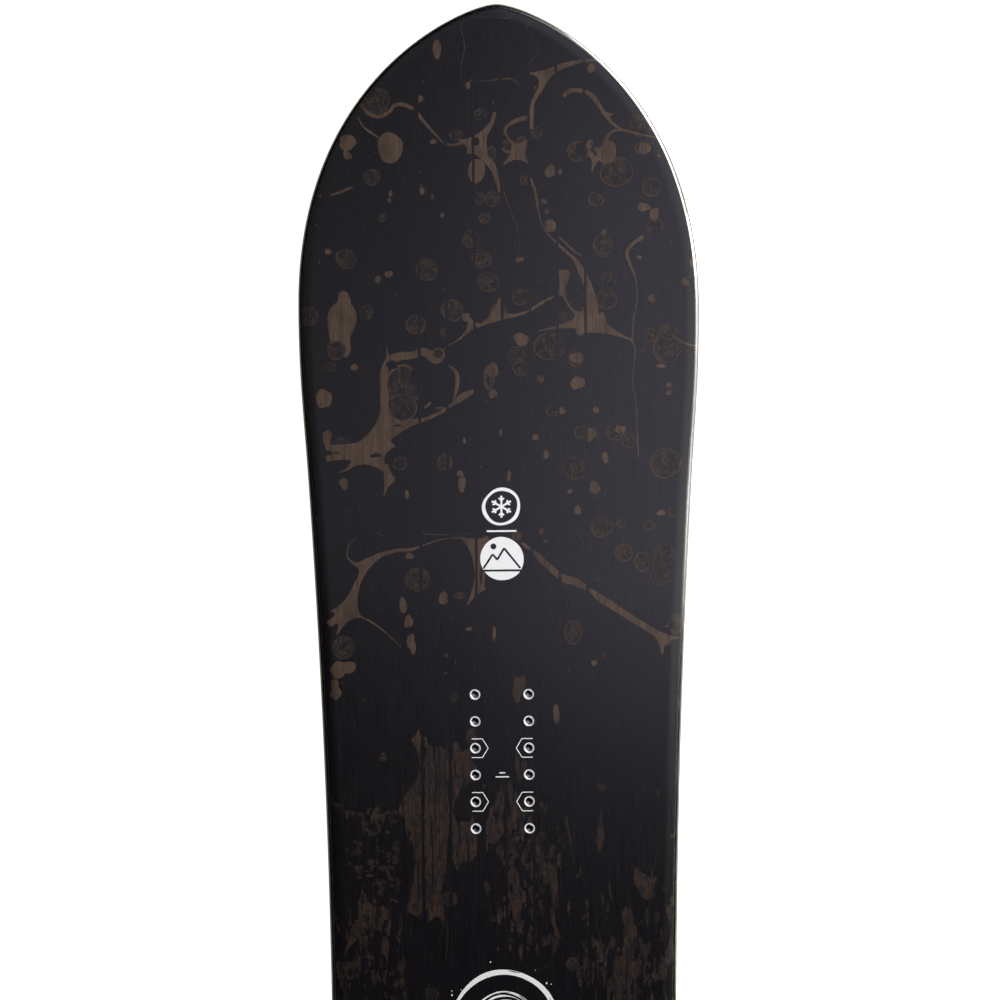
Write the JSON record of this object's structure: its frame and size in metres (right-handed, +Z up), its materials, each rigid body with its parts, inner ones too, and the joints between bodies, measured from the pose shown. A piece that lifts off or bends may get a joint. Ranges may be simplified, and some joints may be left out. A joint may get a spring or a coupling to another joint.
{
  "type": "snowboard",
  "caption": "Bare directional snowboard: wood core pressed between laminates, base with steel edges, marbled black veneer topsheet, two packs of threaded binding inserts.",
  "frame": {"origin": "on the base's underside, midway between the nose tip and the tail tip, on the centre line", "axes": "+Y towards the nose, +X to the rider's right seen from above with the nose up, +Z up out of the topsheet"},
  "size_m": [0.299, 1.56, 0.0671],
  "materials": {
    "topsheet": "dark veneer under semi-gloss black lacquer, marbled with bare brown veneer",
    "laminate": "glass cloth in clear resin",
    "core": "planed pale softwood strips",
    "stringer": "planed hardwood strips",
    "sidewall": "machined and polished black plastic",
    "rubber": "thin bonding foil",
    "edge_steel": "ground steel",
    "base": "stone-ground black polyethylene",
    "insert_steel": "bright turned stainless steel"
  },
  "bodies": {
    "root": {"base": "base", "core_centre_strip": "core", "core_inner_strip_left": "core", "core_inner_strip_right": "core", "core_insert_stringer_left": "stringer", "core_insert_stringer_right": "stringer", "core_middle_strip_left": "core", "core_middle_strip_right": "core", "core_outer_strip_left": "core", "core_outer_strip_right": "core", "core_rail_strip_left": "core", "core_rail_strip_right": "core", "edge_rubber_left": "rubber", "edge_rubber_right": "rubber", "insert_front_left_1": "insert_steel", "insert_front_left_2": "insert_steel", "insert_front_left_3": "insert_steel", "insert_front_left_4": "insert_steel", "insert_front_left_5": "insert_steel", "insert_front_left_6": "insert_steel", "insert_front_right_1": "insert_steel", "insert_front_right_2": "insert_steel", "insert_front_right_3": "insert_steel", "insert_front_right_4": "insert_steel", "insert_front_right_5": "insert_steel", "insert_front_right_6": "insert_steel", "insert_rear_left_1": "insert_steel", "insert_rear_left_2": "insert_steel", "insert_rear_left_3": "insert_steel", "insert_rear_left_4": "insert_steel", "insert_rear_left_5": "insert_steel", "insert_rear_left_6": "insert_steel", "insert_rear_right_1": "insert_steel", "insert_rear_right_2": "insert_steel", "insert_rear_right_3": "insert_steel", "insert_rear_right_4": "insert_steel", "insert_rear_right_5": "insert_steel", "insert_rear_right_6": "insert_steel", "lower_laminate": "laminate", "nose_filler": "sidewall", "sidewall_left": "sidewall", "sidewall_right": "sidewall", "steel_edge_left": "edge_steel", "steel_edge_right": "edge_steel", "tail_filler": "sidewall", "topsheet": "topsheet", "upper_laminate": "laminate"}
  },
  "joints": []
}
